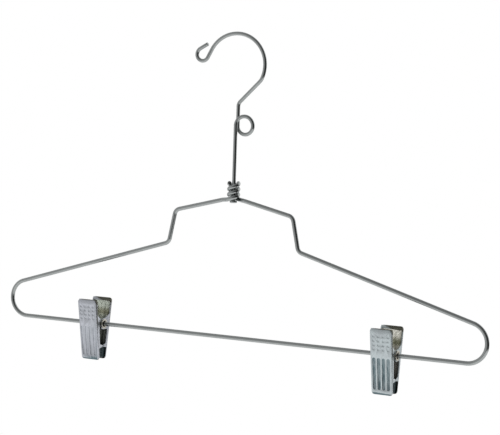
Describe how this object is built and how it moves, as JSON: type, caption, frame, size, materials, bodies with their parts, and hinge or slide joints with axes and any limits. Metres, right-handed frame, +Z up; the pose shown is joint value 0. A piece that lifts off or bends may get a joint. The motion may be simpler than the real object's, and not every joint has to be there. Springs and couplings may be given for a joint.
{
  "type": "suit hanger",
  "caption": "Bent wire suit hanger with a turning hook, a small ring in its stem, stepped shoulders and sliding spring clips on a straight trouser bar.",
  "frame": {"origin": "rail seat: the underside of the hook's crown, on the hook's turning axis", "axes": "+X along the trouser bar, +Y to the back, +Z up as it hangs"},
  "size_m": [0.432, 0.0262, 0.2749],
  "materials": {
    "chrome_wire": "bright chrome-plated drawn wire",
    "nickel_sheet": "satin nickel-plated pressed sheet steel",
    "rubber_pad": "dark moulded rubber",
    "plated_steel": "plated steel tube",
    "spring_steel": "oiled spring wire"
  },
  "bodies": {
    "hook": {"hook_wire": "chrome_wire"},
    "frame": {"frame_wire": "chrome_wire"},
    "left_sleeve": {"left_pivot_sleeve": "plated_steel"},
    "left_clip": {"left_rear_jaw": "nickel_sheet", "left_rear_pad": "rubber_pad", "left_torsion_spring": "spring_steel"},
    "left_front": {"left_front_jaw": "nickel_sheet", "left_front_pad": "rubber_pad"},
    "right_sleeve": {"right_pivot_sleeve": "plated_steel"},
    "right_clip": {"right_rear_jaw": "nickel_sheet", "right_rear_pad": "rubber_pad", "right_torsion_spring": "spring_steel"},
    "right_front": {"right_front_jaw": "nickel_sheet", "right_front_pad": "rubber_pad"}
  },
  "joints": [
    {"name": "hook_swivel", "type": "hinge", "parent": "hook", "child": "frame", "pos_m": [0, 0, -0.13], "axis": [0, 0, 1], "continuous": true},
    {"name": "left_clip_slide", "type": "slide", "parent": "frame", "child": "left_sleeve", "axis": [1, 0, 0], "range_m": [-0.0541, 0.1169]},
    {"name": "left_clip_swing", "type": "hinge", "parent": "left_sleeve", "child": "left_clip", "pos_m": [-0.1289, 0, -0.24166], "axis": [1, 0, 0], "continuous": true},
    {"name": "left_jaw_open", "type": "hinge", "parent": "left_clip", "child": "left_front", "pos_m": [-0.1289, 0, -0.24166], "axis": [-1, 0, 0], "range_deg": [0, 48], "stiffness_Nm_per_rad": 0.12, "springref_deg": -57.3, "deforming": ["left_torsion_spring"]},
    {"name": "right_clip_slide", "type": "slide", "parent": "frame", "child": "right_sleeve", "axis": [1, 0, 0], "range_m": [-0.1231, 0.0479]},
    {"name": "right_clip_swing", "type": "hinge", "parent": "right_sleeve", "child": "right_clip", "pos_m": [0.1351, 0, -0.24166], "axis": [1, 0, 0], "continuous": true},
    {"name": "right_jaw_open", "type": "hinge", "parent": "right_clip", "child": "right_front", "pos_m": [0.1351, 0, -0.24166], "axis": [-1, 0, 0], "range_deg": [0, 48], "stiffness_Nm_per_rad": 0.12, "springref_deg": -57.3, "deforming": ["right_torsion_spring"]}
  ]
}
